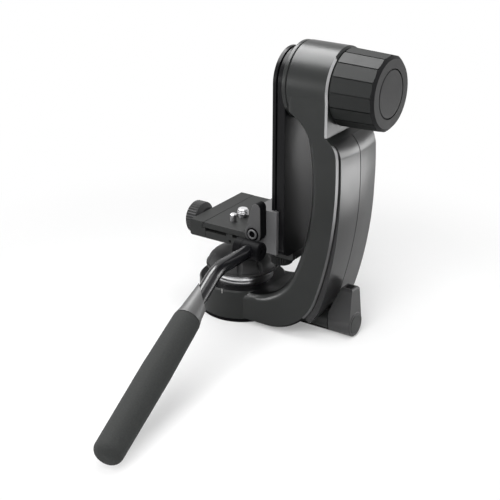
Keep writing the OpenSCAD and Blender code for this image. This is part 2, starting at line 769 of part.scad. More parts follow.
module lock_lever() {
    end_x = lever_x + lever_len;
    top = lever_z + paddle_h;
    slant_x = lever_x + paddle_h * 0.28;
    color(charcoal) difference() {
        union() {
            turned_x([
                [0, lever_x], [lever_r - 0.6, lever_x], [lever_r, lever_x + 0.6],
                [lever_r, end_x - 0.8], [lever_r - 0.8, end_x], [0, end_x]
            ], 0, lever_z);
            intersection() {
                plate_xz(-lever_r, lever_r) polygon([
                    [lever_x, lever_z], [lever_x, lever_z + lever_r * 0.9], [slant_x, top - 0.8],
                    [slant_x + 0.6, top], [end_x - 2, top], [end_x - 1, top - 1.2], [end_x - 0.4, lever_z]
                ]);
                plate_yz(lever_x, end_x) polygon([
                    [-lever_r + 0.4, lever_z], [lever_r - 0.4, lever_z], [lever_r * 0.6, top - 2],
                    [lever_r * 0.45, top], [-lever_r * 0.45, top], [-lever_r * 0.6, top - 2]
                ]);
            }
        }
        block(slant_x + 2, end_x - 3.5, -lever_r * 0.3, lever_r * 0.3, top - 4, top + overcut);
        rod_x(lever_x - overcut, lever_x + lever_len * 0.6, rod_r + fix_clear, 0, lever_z);
        rod_x(end_x - 1.2, end_x + overcut, inlay_r + fix_clear, 0, lever_z);
    }
}

module lever_inlay() {
    end_x = lever_x + lever_len;
    color(grey) turned_x([
        [0, end_x - 1.2], [inlay_r, end_x - 1.2], [inlay_r, end_x - 0.1],
        [inlay_r - 0.5, end_x + 0.3], [0, end_x + 0.3]
    ], 0, lever_z);
}

module brake_rod() {
    color(steel) rod_x(post_r + 5 + face_clear, lever_x + lever_len * 0.6, rod_r, 0, lever_z);
}

module tilt_knob() {
    taper = atan((knob_r - knob_end_r) / knob_len);
    bevel = 2.6;
    groove_w = 0.9;
    groove_deep = 0.8;
    flat_r = knob_r * cos(180 / knob_flats) + 0.15;
    color(rubber) translate([knob_x, 0, tilt_z]) rotate([0, 90, 0]) difference() {
        rotate_extrude() polygon([
            [0, 0], [knob_r - 1.4, 0], [knob_r, 1.4], [knob_end_r + 0.2, knob_len - bevel],
            [knob_end_r - bevel, knob_len], [0, knob_len]
        ]);
        for (i = [0 : knob_flats - 1]) rotate([0, 0, 360 * (i + 0.5) / knob_flats + knob_phase]) {
            translate([flat_r, 0, 0]) rotate([0, -taper, 0])
                translate([0, -knob_r / 2, -overcut]) cube([knob_r, knob_r, knob_len + 2 * overcut]);
        }
        for (i = [0 : knob_flats - 1]) rotate([0, 0, 360 * i / knob_flats + knob_phase]) {
            translate([knob_r - groove_deep, -groove_w / 2, -overcut]) rotate([0, -taper, 0])
                cube([4, groove_w, knob_len + 2 * overcut]);
        }
        translate([0, 0, -overcut]) cylinder(r = insert_r, h = insert_len + overcut);
        cylinder(r = stud_r + 1, h = stud_end - knob_x + 1);
        translate([0, 0, knob_len - cap_t]) cylinder(r = cap_r + 0.4, h = cap_t + overcut);
    }
}

module knob_insert() {
    color(bronze) tube_x(knob_x, knob_x + insert_len, insert_r, stud_r + run_clear);
}

module knob_cap() {
    color(rubber) turned_x([
        [0, knob_end - cap_t], [cap_r, knob_end - cap_t], [cap_r, knob_end - 0.6], [cap_r - 0.8, knob_end],
        [cap_r - 4, knob_end + 0.25], [0, knob_end + 0.25]
    ]);
}

module swing_arm() {
    color(charcoal) difference() {
        union() {
            plate_yz(swing_x, spacer_x) polygon(swing_outline(0));
            plate_yz(swing_x - groove_w, swing_x) polygon(swing_outline(groove_d));
        }
        rod_x(rail_x, spacer_x + overcut, shaft_r + fix_clear);
        at_rail_screws() rotate([0, 90, 0])
            cylinder(r = rail_screw_r + fix_clear, h = rail_screw_len + 0.5);
        at_bracket_screws() cylinder(r = bracket_screw_r + fix_clear, h = bracket_screw_len + 0.5);
    }
}

module rail_plate() {
    color(charcoal) difference() {
        plate_yz(rail_x, rail_x + rail_t) polygon(swing_outline(0));
        rod_x(rail_x - overcut, rail_x + rail_t + overcut, shaft_r + fix_clear);
        at_rail_screws() translate([-overcut, 0, 0]) rotate([0, 90, 0])
            cylinder(r = rail_screw_r + fix_clear, h = rail_t + 2 * overcut);
        at_rail_screws() translate([-overcut, 0, 0]) rotate([0, 90, 0])
            cylinder(r = rail_head_r + fix_clear, h = rail_head_h + overcut);
    }
}

module tilt_shaft() {
    shank = knob_x - 2 * face_clear;
    color(steel) union() {
        rod_x(rail_x + 0.5, shank, shaft_r);
        rod_x(shank - overcut, stud_end, stud_r);
    }
}

module spacer_ring() {
    edge = 0.6;
    outer = drum_r - 0.3;
    color(steel) turned_x([
        [shaft_r + fix_clear, spacer_x], [outer - edge, spacer_x], [outer, spacer_x + edge],
        [outer, spacer_x + spacer_t - edge], [outer - edge, spacer_x + spacer_t],
        [shaft_r + fix_clear, spacer_x + spacer_t]
    ]);
}

module shaft_cap() {
    color(rubber) turned_x([
        [0, rail_x - 2.4], [shaft_r + 1.2, rail_x - 2.4], [shaft_r + 2.4, rail_x - 1.2],
        [shaft_r + 2.4, rail_x], [0, rail_x]
    ]);
}

module rail_screws() {
    color(steel) at_rail_screws() rotate([0, 90, 0]) {
        cylinder(r = rail_head_r, h = rail_head_h);
        cylinder(r = rail_screw_r, h = rail_screw_len);
    }
}

module screw_bracket() {
    top = swing_bottom;
    color(charcoal) difference() {
        union() {
            block(screw_x, spacer_x - 0.6, 0.2 - bracket_r, bracket_r - 0.2, top - bracket_h, top);
            translate([screw_x, 0, top - bracket_h]) cylinder(r = bracket_r, h = bracket_h);
        }
        translate([screw_x, 0, top - bracket_h - overcut])
            cylinder(r = screw_r + run_clear, h = bracket_h + 2 * overcut);
        at_bracket_screws() translate([0, 0, -bracket_h - overcut])
            cylinder(r = bracket_screw_r + fix_clear, h = bracket_h + 2 * overcut);
        at_bracket_screws() translate([0, 0, -bracket_h - overcut])
            cylinder(r = bracket_screw_r * 1.8 + fix_clear, h = bracket_h * 0.4 + overcut);
    }
}

module bracket_screws() {
    color(steel) at_bracket_screws() {
        translate([0, 0, -bracket_h * 0.6])
            cylinder(r = bracket_screw_r, h = bracket_h * 0.6 + bracket_screw_len);
        translate([0, 0, -bracket_h * 0.95])
            cylinder(r = bracket_screw_r * 1.8, h = bracket_h * 0.35);
    }
}

module height_knob() {
    color(rubber) translate([screw_x, 0, height_knob_z]) difference() {
        intersection() {
            linear_extrude(height_knob_h) polygon(knurl(height_knob_r, 0.6, 28));
            rotate_extrude() polygon([
                [0, 0], [height_knob_r - 1, 0], [height_knob_r + 0.2, 1.2],
                [height_knob_r + 0.2, height_knob_h - 1.2], [height_knob_r - 1, height_knob_h],
                [0, height_knob_h]
            ]);
        }
        translate([0, 0, 1.5]) cylinder(r = screw_r + fix_clear, h = height_knob_h);
    }
}

module lead_screw() {
    color(steel) translate([screw_x, 0, height_knob_z + 1.5])
        cylinder(r = screw_r, h = screw_top - height_knob_z - 1.5);
}

module carriage() {
    z1 = carriage_z + carriage_h;
    inner_y = swing_r + face_clear;
    back = rail_x - face_clear;
    lip_x = rail_x + rail_t + lip_clear;
    lip_end = lip_x + groove_w - 2 * lip_clear;
    color(grey) difference() {
        union() {
            block(carriage_x, back, -carriage_y, carriage_y, carriage_z, z1);
            for (s = [-1, 1]) {
                y0 = s < 0 ? -carriage_y : inner_y;
                block(back - overcut, lip_end + 2.4, y0, y0 + cheek_t, carriage_z, z1);
                lip_y = s < 0 ? -inner_y - overcut : inner_y - groove_d + 0.6 + face_clear;
                block(lip_x, lip_end, lip_y, lip_y + groove_d - 0.6 - face_clear + overcut, carriage_z, z1);
            }
        }
        translate([screw_x, 0, carriage_z - overcut]) {
            cylinder(r = screw_r + 0.4, h = carriage_h + 2 * overcut);
            cylinder(r = nut_r, h = nut_h + overcut);
        }
        at_carriage_screws() {
            rod_x(carriage_x - overcut, back + overcut, carriage_screw_r + fix_clear, 0, 0);
            rod_x(back - carriage_head_h, back + overcut, carriage_head_r + fix_clear, 0, 0);
        }
        rod_y(-carriage_y - overcut, -carriage_y + pivot_len + 0.5, pivot_r + fix_clear, tear_x, tear_z);
    }
}

module lead_nut() {
    color(bronze) tube_z(carriage_z, carriage_z + nut_h, nut_r, screw_r + run_clear, screw_x, 0);
}

// The clamp's fixed half: a bed with the fixed jaw on its right and the bar's lug in front
module clamp_base() {
    bed_left = jaw_right + 0.4;
    slot_h = 2.2;
    color(grey) difference() {
        union() {
            plate_xz(-platform_y, platform_y) polygon([
                [bed_left, platform_z], [carriage_x, platform_z], [carriage_x, plate_top - 0.6],
                [carriage_x - 0.6, plate_top], [plate_right + 0.3, plate_top],
                [plate_right + dovetail + 0.3, seat_z], [bed_left, seat_z]
            ]);
            rod_x(lug_x, lug_x + lug_w, bar_hub_r, bar_y, bar_z);
            block(lug_x, lug_x + lug_w, bar_y, -platform_y + overcut, bar_z - bar_hub_r * 0.8, neck_top);
        }
        front = -platform_y - overcut;
        slot_z = seat_z - slot_h;
        over = seat_z + overcut;
        block(bed_left - overcut, plate_x + 3.6, front, -platform_y + 8, slot_z, over);
        block(plate_x + 9.4, plate_x + 17, front, -platform_y + 6, slot_z, over);
        block(plate_x - 3.6, plate_x + 3.6, front, platform_y + overcut, slot_z, over);
        rod_y(-platform_y - overcut, -platform_y + 5, 1.2, plate_x + 7, platform_z + 2.4);
        rod_x(bed_left - overcut, plate_x - 3, clamp_screw_r + run_clear, -clamp_y, guide_z);
        for (s = [-1, 1])
            rod_x(bed_left - overcut, bed_left + guide_len + 0.5, guide_r + fix_clear, s * guide_y, guide_z);
        at_carriage_screws() rod_x(carriage_x - carriage_screw_len - 0.5, carriage_x + overcut,
            carriage_screw_r + fix_clear, 0, 0);
        rod_x(lug_x - overcut, lug_x + lug_w + overcut, bar_screw_r + fix_clear, bar_y, bar_z);
        rod_y(-platform_y - overcut, tear_back + face_clear, tear_r + face_clear + 0.1, tear_x, tear_z);
    }
}

module carriage_screws() {
    back = rail_x - face_clear;
    color(steel) at_carriage_screws() {
        rod_x(carriage_x - carriage_screw_len, back - carriage_head_h, carriage_screw_r, 0, 0);
        rod_x(back - carriage_head_h, back - 0.4, carriage_head_r, 0, 0);
    }
}

module guide_pins() {
    bed_left = jaw_right + 0.4;
    pin_left = jaw_left + guide_cover + face_clear;
    color(steel) for (s = [-1, 1]) rod_x(pin_left, bed_left + guide_len, guide_r, s * guide_y, guide_z);
}

// Socket-head screw whose head faces the front
module lever_screw() {
    color(steel) difference() {
        union() {
            rod_y(tear_front + 1.6, -carriage_y + pivot_len, pivot_r, tear_x, tear_z);
            rod_y(tear_front - 0.2, tear_front + 1.6, pivot_head_r, tear_x, tear_z);
        }
        translate([tear_x, tear_front + 1.2, tear_z]) rotate([90, 0, 0])
            cylinder(r = pivot_r * 0.9, h = 4, $fn = 6);
    }
}

module bar_screw() {
    color(steel) difference() {
        union() {
            rod_x(lug_x + 0.4, hub_x + hub_w - 2.6, bar_screw_r, bar_y, bar_z);
            rod_x(hub_x + hub_w - 2.6, hub_x + hub_w - 0.2, bar_screw_r * 1.7, bar_y, bar_z);
        }
        translate([hub_x + hub_w - 2, bar_y, bar_z]) rotate([0, 90, 0])
            cylinder(r = bar_screw_r * 0.9, h = 4, $fn = 6);
    }
}

module moving_jaw() {
    color(grey) difference() {
        plate_xz(-platform_y, platform_y) polygon([
            [jaw_left + 1.2, platform_z], [jaw_right, platform_z], [jaw_right, seat_z],
            [plate_left - dovetail - 0.3, seat_z], [plate_left - 0.3, plate_top],
            [jaw_left + 0.8, plate_top], [jaw_left, plate_top - 0.8], [jaw_left, platform_z + 1.2]
        ]);
        rod_x(jaw_left - overcut, jaw_right + overcut, clamp_screw_r + run_clear, -clamp_y, guide_z);
        for (s = [-1, 1])
            rod_x(jaw_left + guide_cover, jaw_right + overcut, guide_r + run_clear, s * guide_y, guide_z);
    }
}

module clamp_knob() {
    x0 = jaw_left - face_clear - clamp_knob_w;
    color(rubber) translate([x0, -clamp_y, guide_z]) rotate([0, 90, 0]) difference() {
        intersection() {
            linear_extrude(clamp_knob_w) polygon(knurl(clamp_knob_r, 0.7, 36));
            rotate_extrude() polygon([
                [0, 0], [clamp_knob_r - 2, 0], [clamp_knob_r + 0.2, 2],
                [clamp_knob_r + 0.2, clamp_knob_w - 3.4], [clamp_knob_r - 4, clamp_knob_w], [0, clamp_knob_w]
            ]);
        }
        translate([0, 0, 3]) cylinder(r = clamp_screw_r + fix_clear, h = clamp_knob_w);
        translate([0, 0, -overcut]) cylinder(r = clamp_knob_r * 0.6, h = 1 + overcut);
    }
}

module clamp_screw() {
    knob_left = jaw_left - face_clear - clamp_knob_w;
    color(steel) rod_x(knob_left + 3, plate_x - 4, clamp_screw_r, -clamp_y, guide_z);
}

module qr_lever() {
    color(charcoal) difference() {
        translate([tear_x, tear_back, tear_z]) rotate([90, 0, 0]) linear_extrude(tear_t)
            rotate(-tear_lean) polygon(tear_outline(tear_r, tear_tip_r, tear_len));
        rod_y(tear_front - overcut, tear_back + overcut, pivot_r + run_clear, tear_x, tear_z);
        rod_y(tear_front - overcut, tear_front + 1.6, pivot_head_r + face_clear, tear_x, tear_z);
    }
}

module qr_plate() {
    y1 = platform_y - 0.3;
    head_r = camera_screw_r * 1.7;
    color(grey) difference() {
        plate_xz(-y1, y1) polygon([
            [plate_left - dovetail, plate_z], [plate_right + dovetail, plate_z],
            [plate_right + dovetail * 0.9, plate_z + 0.4], [plate_right, plate_top],
            [plate_left, plate_top], [plate_left - dovetail * 0.9, plate_z + 0.4]
        ]);
        translate([plate_x, -camera_screw_y, plate_z - overcut]) {
            cylinder(r = camera_screw_r + fix_clear, h = plate_t + 2 * overcut);
            cylinder(r = head_r + fix_clear, h = 2.2 + overcut);
        }
        translate([plate_x, -camera_screw_y - pin_pitch, plate_z - overcut])
            cylinder(r = pin_r + run_clear, h = plate_t + 2 * overcut);
    }
}

module camera_screw() {
    head_r = camera_screw_r * 1.7;
    neck_r = camera_screw_r - screw_relief;
    thread_z = plate_top + face_clear;
    top = plate_top + camera_screw_h;
    color(steel) translate([plate_x, -camera_screw_y, 0]) difference() {
        rotate_extrude() polygon([
            [0, plate_z + 0.1], [head_r, plate_z + 0.1], [head_r, plate_z + 2.1], [neck_r, plate_z + 2.1],
            [neck_r, thread_z], [camera_screw_r, thread_z], [camera_screw_r, top - 0.8],
            [camera_screw_r - 0.8, top], [0, top]
        ]);
        block(-head_r - overcut, head_r + overcut, -0.8, 0.8, plate_z - overcut, plate_z + 1.2);
    }
}

module video_pin() {
    top = plate_top + pin_h;
    foot = plate_z + plate_t * 0.54;
    color(steel) translate([plate_x, -camera_screw_y - pin_pitch, 0]) rotate_extrude() polygon([
        [0, foot], [pin_r, foot], [pin_r, top - 0.8], [pin_r - 0.8, top], [0, top]
    ]);
}

module bar_hub() {
    color(charcoal) difference() {
        turned_x([
            [0, hub_x], [bar_hub_r, hub_x], [bar_hub_r, hub_x + hub_w - 0.8],
            [bar_hub_r - 0.8, hub_x + hub_w], [0, hub_x + hub_w]
        ], bar_y, bar_z);
        rod_x(hub_x - overcut, hub_x + hub_w + overcut, bar_screw_r + run_clear, bar_y, bar_z);
        rod_x(hub_x + hub_w - 2.6, hub_x + hub_w + overcut, bar_screw_r * 1.7 + face_clear, bar_y, bar_z);
        in_bar_frame() rotate([0, 90, 0]) translate([0, 0, bar_start]) cylinder(r = bar_r + 0.05, h = 20);
    }
}

// The bar's own frame: its pivot at the origin and its first straight along X
module in_bar_frame() {
    translate([bar_x, bar_y, bar_z]) rotate([0, 0, -90 + bar_yaw]) rotate([0, -bar_rise, 0])
        rotate([bar_roll, 0, 0]) children();
}

// The frame of the bar's second straight, with Z along it from the bend's corner
module in_grip_frame() {
    in_bar_frame() translate([bar_reach, 0, 0]) rotate([0, 90 + bar_bend, 0]) children();
}

module bar_tube() {
    sections = [for (i = [0 : len(bar_points) - 1]) bar_ring(i)];
    color(rubber) in_bar_frame() difference() {
        polyhedron([for (s = sections) each s], tube_faces(len(sections), bar_sides), convexity = 6);
        translate([bar_start - 20, -20, -20]) cube([20, 40, 40]);
    }
}

module bar_collar() {
    tip_r = bar_r + 0.9;
    color(grey) in_grip_frame() translate([0, 0, bar_run]) difference() {
        rotate_extrude() polygon([
            [0, 0], [tip_r - 0.3, 0], [tip_r, 0.8], [collar_r - 1.2, collar_len - 6],
            [collar_r, collar_len], [0, collar_len]
        ]);
        translate([0, 0, -overcut]) cylinder(r = bar_r + fix_clear, h = collar_len + 2 * overcut);
    }
}

module grip() {
    round_r = 7;
    end_r = grip_r - 0.5;
    color(rubber) in_grip_frame() translate([0, 0, bar_run + collar_len]) difference() {
        rotate_extrude() polygon(concat(
            [[0, 0], [collar_r - 0.8, 0], [collar_r + 0.3, 1.2], [grip_r, grip_len * 0.4]],
            arc([end_r - round_r, grip_len - round_r], round_r, 0, 90, 8),
            [[0, grip_len]]
        ));
        translate([0, 0, -overcut]) cylinder(r = bar_r + fix_clear, h = grip_tube + 1 + overcut);
    }
}

foot();
foot_pad();
tripod_bush();
pan_spindle();
spindle_screws();
thrust_washer();
c_arm();
spine_cover_front();
spine_cover_rear();
pan_bush_lower();
pan_bush_upper();
accent_ring();
disc_springs();
tilt_bearing_inner();
tilt_bearing_outer();
friction_disc();
brake_pad();
drag_knob();
drag_insert();
lock_lever();
lever_inlay();
brake_rod();
tilt_knob();
knob_insert();
knob_cap();
swing_arm();
rail_plate();
tilt_shaft();
spacer_ring();
shaft_cap();
rail_screws();
screw_bracket();
bracket_screws();
height_knob();
lead_screw();
carriage();
lead_nut();
clamp_base();
carriage_screws();
guide_pins();
lever_screw();
bar_screw();
moving_jaw();
clamp_knob();
clamp_screw();
qr_lever();
qr_plate();
camera_screw();
video_pin();
bar_hub();
bar_tube();
bar_collar();
grip();
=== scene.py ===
"""Looks of a hanging pan tilt head with a C-shaped arm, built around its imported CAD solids."""
import math

import bmesh
import bpy
from mathutils import Matrix, Vector


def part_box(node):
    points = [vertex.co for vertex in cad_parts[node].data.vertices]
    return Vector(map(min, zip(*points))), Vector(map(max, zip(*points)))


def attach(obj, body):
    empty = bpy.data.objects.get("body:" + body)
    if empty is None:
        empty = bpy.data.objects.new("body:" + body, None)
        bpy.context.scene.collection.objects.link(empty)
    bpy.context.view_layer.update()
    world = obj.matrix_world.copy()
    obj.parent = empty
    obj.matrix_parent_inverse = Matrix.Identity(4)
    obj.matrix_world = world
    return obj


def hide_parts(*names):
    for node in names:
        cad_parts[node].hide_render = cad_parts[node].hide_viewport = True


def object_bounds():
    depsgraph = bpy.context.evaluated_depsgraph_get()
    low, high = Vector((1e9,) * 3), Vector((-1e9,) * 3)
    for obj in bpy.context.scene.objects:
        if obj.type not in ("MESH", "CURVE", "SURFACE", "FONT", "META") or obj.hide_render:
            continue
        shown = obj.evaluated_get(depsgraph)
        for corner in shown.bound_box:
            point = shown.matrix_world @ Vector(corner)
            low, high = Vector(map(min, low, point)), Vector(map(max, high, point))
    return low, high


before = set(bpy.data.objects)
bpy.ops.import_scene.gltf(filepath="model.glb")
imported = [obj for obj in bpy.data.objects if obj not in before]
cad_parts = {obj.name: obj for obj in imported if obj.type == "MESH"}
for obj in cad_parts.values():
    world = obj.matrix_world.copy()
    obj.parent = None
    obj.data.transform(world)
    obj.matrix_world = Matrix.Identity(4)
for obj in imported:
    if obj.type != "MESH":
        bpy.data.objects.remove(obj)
cad_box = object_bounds()
MM = 0.001

# Camera. The head is seen from the front right and a little above, through a long lens, with the
# photograph's square frame; the focal length is in the pixels of that frame.
photo_side = 500
focal_pixels = 1253
azimuth = math.radians(33.8)
elevation = math.radians(23.4)
aim = Vector((4.9, 3.3, 49.5)) * MM
camera_distance = 1044 * MM
camera_data = bpy.data.cameras.new("camera")
camera_data.sensor_width = 36
camera_data.lens = camera_data.sensor_width * focal_pixels / photo_side
camera = bpy.data.objects.new("camera", camera_data)
bpy.context.scene.collection.objects.link(camera)
camera.location = aim + camera_distance * Vector((
    math.sin(azimuth) * math.cos(elevation),
    -math.cos(azimuth) * math.cos(elevation),
    math.sin(elevation),
))
camera.rotation_euler = (aim - camera.location).to_track_quat("-Z", "Y").to_euler()
bpy.context.scene.camera = camera
bpy.context.scene.view_settings.view_transform = "Standard"

# Studio. A white table that runs out of the frame, white surroundings, a large soft lamp overhead and
# one in front that keep the shadows close, and panels that show only as highlights on the finish.
floor_half = 4.0
floor_white = (0.93, 0.93, 0.93, 1)
floor_own_white = (0.15, 0.36, 0.26, 1.0)
surround_light = 0.27


def new_material(name):
    """An empty node material with a Principled shader on its output."""
    material = bpy.data.materials.new(name)
    material.use_nodes = True
    nodes = material.node_tree.nodes
    return material, nodes, material.node_tree.links, nodes["Principled BSDF"]


def smooth_range(nodes, values):
    """A node that eases a value from one low and high to another low and high."""
    eased = nodes.new("ShaderNodeMapRange")
    eased.interpolation_type = "SMOOTHSTEP"
    for socket, value in zip(("From Min", "From Max", "To Min", "To Max"), values):
        eased.inputs[socket].default_value = value
    return eased


bm = bmesh.new()
bmesh.ops.create_grid(bm, x_segments=2, y_segments=2, size=floor_half)
bmesh.ops.translate(bm, verts=bm.verts, vec=(0, 0, cad_box[0][2] - 0.05 * MM))
floor_mesh = bpy.data.meshes.new("floor")
bm.to_mesh(floor_mesh)
bm.free()
floor = bpy.data.objects.new("floor", floor_mesh)
bpy.context.scene.collection.objects.link(floor)
floor_material, nodes, links, shader = new_material("white_table")
shader.inputs["Base Color"].default_value = floor_white
shader.inputs["Roughness"].default_value = 0.9
shader.inputs["Specular IOR Level"].default_value = 0.0
own_white = nodes.new("ShaderNodeEmission")
own_white.inputs["Strength"].default_value = 1.0
table_place = nodes.new("ShaderNodeTexCoord")
table_radius = nodes.new("ShaderNodeVectorMath")
table_radius.operation = "LENGTH"
links.new(table_place.outputs["Object"], table_radius.inputs[0])
own_share = smooth_range(nodes, floor_own_white)
links.new(table_radius.outputs["Value"], own_share.inputs["Value"])
floor_path = nodes.new("ShaderNodeLightPath")
seen_share = nodes.new("ShaderNodeMath")
seen_share.operation = "MULTIPLY"
links.new(floor_path.outputs["Is Camera Ray"], seen_share.inputs[0])
links.new(own_share.outputs["Result"], seen_share.inputs[1])
table_mix = nodes.new("ShaderNodeMixShader")
links.new(seen_share.outputs[0], table_mix.inputs["Fac"])
links.new(shader.outputs[0], table_mix.inputs[1])
links.new(own_white.outputs[0], table_mix.inputs[2])
links.new(table_mix.outputs[0], nodes["Material Output"].inputs["Surface"])
floor_mesh.materials.append(floor_material)

world = bpy.data.worlds.new("studio")
bpy.context.scene.world = world
world.use_nodes = True
nodes, links = world.node_tree.nodes, world.node_tree.links
backdrop = nodes["Background"]
backdrop.inputs["Color"].default_value = (1, 1, 1, 1)
backdrop.inputs["Strength"].default_value = 1.0
ambient = nodes.new("ShaderNodeBackground")
ambient.inputs["Color"].default_value = (1, 1, 1, 1)
ambient.inputs["Strength"].default_value = surround_light
light_path = nodes.new("ShaderNodeLightPath")
seen_or_glossy = nodes.new("ShaderNodeMath")
seen_or_glossy.operation = "MAXIMUM"
links.new(light_path.outputs["Is Camera Ray"], seen_or_glossy.inputs[0])
links.new(light_path.outputs["Is Glossy Ray"], seen_or_glossy.inputs[1])
seen_by_any = nodes.new("ShaderNodeMath")
seen_by_any.operation = "MAXIMUM"
links.new(seen_or_glossy.outputs[0], seen_by_any.inputs[0])
links.new(light_path.outputs["Is Transmission Ray"], seen_by_any.inputs[1])
surroundings = nodes.new("ShaderNodeMixShader")
links.new(seen_by_any.outputs[0], surroundings.inputs["Fac"])
links.new(ambient.outputs[0], surroundings.inputs[1])
links.new(backdrop.outputs[0], surroundings.inputs[2])
links.new(surroundings.outputs[0], nodes["World Output"].inputs["Surface"])


def soft_lamp(name, place, target, width, depth, brightness, gloss=True, matte=True):
    """A soft panel lamp at a place, turned to a target; brightness is that of its surface."""
    data = bpy.data.lights.new(name, "AREA")
    data.shape = "RECTANGLE"
    data.size = width
    data.size_y = depth
    data.energy = brightness * math.pi * width * depth
    lamp = bpy.data.objects.new(name, data)
    lamp.location = place
    lamp.rotation_euler = (Vector(target) - Vector(place)).to_track_quat("-Z", "Y").to_euler()
    lamp.visible_camera = False
    lamp.visible_glossy = gloss
    lamp.visible_diffuse = matte
    bpy.context.scene.collection.objects.link(lamp)


soft_lamp("top_lamp", (0.22, -0.16, 1.30), (0.03, 0.0, 0.0), 0.9, 0.9, 4.2)
soft_lamp("front_lamp", (0.27, -0.85, 0.70), (0.03, -0.05, 0.0), 0.7, 0.6, 7.2, gloss=False)
soft_lamp("left_panel", (-0.60, 0.07, 1.15), (0.05, 0.0, 0.15), 1.1, 0.55, 20.0, matte=False)
soft_lamp("side_panel", (-0.88, -0.85, 0.22), (0.05, 0.0, 0.05), 0.50, 0.25, 25.0, matte=False)
soft_lamp("rear_card", (0.375, 0.3225, 0.002), (0.375, 0.3225, 0.5), 0.19, 0.255, 12.5, matte=False)
soft_lamp("back_panel", (0.62, 0.74, 0.18), (0.08, 0.0, 0.15), 0.34, 0.30, 11.0, matte=False)

# Foot. The dark turned disc that the head stands on, with a rubber ring let into its underside.
# Painted aluminium; its edges are eased as on a lathe. Its matt black is partly painted shade, the
# dark line where the head meets the table.


def effect_group(name, inputs, outputs):
    """A shader node group with named sockets, and its input and output nodes."""
    group = bpy.data.node_groups.new(name, "ShaderNodeTree")
    for socket_name, socket_type, value in inputs:
        socket = group.interface.new_socket(socket_name, in_out="INPUT", socket_type=socket_type)
        socket.default_value = value
    for socket_name, socket_type in outputs:
        group.interface.new_socket(socket_name, in_out="OUTPUT", socket_type=socket_type)
    return group, group.nodes.new("NodeGroupInput"), group.nodes.new("NodeGroupOutput")


def make_grain_group():
    """Fine bumps of a powder coat or a moulded skin, as a height."""
    group, inside, outside = effect_group(
        "grain", [("Scale", "NodeSocketFloat", 900.0)], [("Height", "NodeSocketFloat")])
    nodes, links = group.nodes, group.links
    place = nodes.new("ShaderNodeTexCoord")
    fine = nodes.new("ShaderNodeTexNoise")
    fine.inputs["Detail"].default_value = 3
    links.new(place.outputs["Object"], fine.inputs["Vector"])
    links.new(inside.outputs["Scale"], fine.inputs["Scale"])
    links.new(fine.outputs["Fac"], outside.inputs["Height"])
    return group


def make_tone_group():
    """Slow drifts of a finish's colour and gloss, as handling and batches leave them."""
    group, inside, outside = effect_group(
        "tone",
        [("Colour", "NodeSocketColor", (0.1, 0.1, 0.1, 1)), ("Colour Drift", "NodeSocketFloat", 0.1),
         ("Roughness", "NodeSocketFloat", 0.5), ("Roughness Drift", "NodeSocketFloat", 0.08),
         ("Scale", "NodeSocketFloat", 60.0)],
        [("Colour", "NodeSocketColor"), ("Roughness", "NodeSocketFloat")])
    nodes, links = group.nodes, group.links
    place = nodes.new("ShaderNodeTexCoord")
    cloud = nodes.new("ShaderNodeTexNoise")
    cloud.inputs["Detail"].default_value = 5
    links.new(place.outputs["Object"], cloud.inputs["Vector"])
    links.new(inside.outputs["Scale"], cloud.inputs["Scale"])
    centred = nodes.new("ShaderNodeMath")
    centred.operation = "SUBTRACT"
    links.new(cloud.outputs["Fac"], centred.inputs[0])
    centred.inputs[1].default_value = 0.5
    swing = nodes.new("ShaderNodeMath")
    swing.operation = "MULTIPLY_ADD"
    links.new(centred.outputs[0], swing.inputs[0])
    links.new(inside.outputs["Colour Drift"], swing.inputs[1])
    swing.inputs[2].default_value = 1.0
    tinted = nodes.new("ShaderNodeVectorMath")
    tinted.operation = "SCALE"
    links.new(inside.outputs["Colour"], tinted.inputs[0])
    links.new(swing.outputs[0], tinted.inputs["Scale"])
    links.new(tinted.outputs[0], outside.inputs["Colour"])
    rough = nodes.new("ShaderNodeMath")
    rough.operation = "MULTIPLY_ADD"
    links.new(centred.outputs[0], rough.inputs[0])
    links.new(inside.outputs["Roughness Drift"], rough.inputs[1])
    links.new(inside.outputs["Roughness"], rough.inputs[2])
    links.new(rough.outputs[0], outside.inputs["Roughness"])
    return group


grain_group = make_grain_group()
tone_group = make_tone_group()


def finish(name, colour, roughness, grain_scale, grain_depth, drift=0.25, gloss_drift=0.12,
           metallic=0.0, specular=0.5, tone_scale=60):
    """A material whose colour and gloss drift over the piece, with a fine grain on its surface."""
    material, nodes, links, shader = new_material(name)
    tone = nodes.new("ShaderNodeGroup")
    tone.node_tree = tone_group
    tone.inputs["Colour"].default_value = (*colour, 1)
    tone.inputs["Colour Drift"].default_value = drift
    tone.inputs["Roughness"].default_value = roughness
    tone.inputs["Roughness Drift"].default_value = gloss_drift
    tone.inputs["Scale"].default_value = tone_scale
    links.new(tone.outputs["Colour"], shader.inputs["Base Color"])
    links.new(tone.outputs["Roughness"], shader.inputs["Roughness"])
    grain = nodes.new("ShaderNodeGroup")
    grain.node_tree = grain_group
    grain.inputs["Scale"].default_value = grain_scale
    bump = nodes.new("ShaderNodeBump")
    bump.inputs["Strength"].default_value = 0.6
    bump.inputs["Distance"].default_value = grain_depth
    links.new(grain.outputs["Height"], bump.inputs["Height"])
    links.new(bump.outputs["Normal"], shader.inputs["Normal"])
    shader.inputs["Metallic"].default_value = metallic
    shader.inputs["Specular IOR Level"].default_value = specular
    return material


coat_grain, coat_depth = 1500, 0.02 * MM
cast_colour, cast_roughness, cast_specular = (0.0132, 0.0142, 0.0138), 0.33, 0.22
deep_colour, deep_roughness, deep_specular = (0.0035, 0.0035, 0.004), 0.5, 0.03
cast_black = finish("cast_black", cast_colour, cast_roughness, coat_grain, coat_depth,
                    specular=cast_specular)
deep_black = finish("deep_black", deep_colour, deep_roughness, coat_grain, coat_depth,
                    specular=deep_specular)
foot_rubber = finish("foot_rubber", (0.025, 0.025, 0.025), 0.75, 1200, 0.05 * MM)


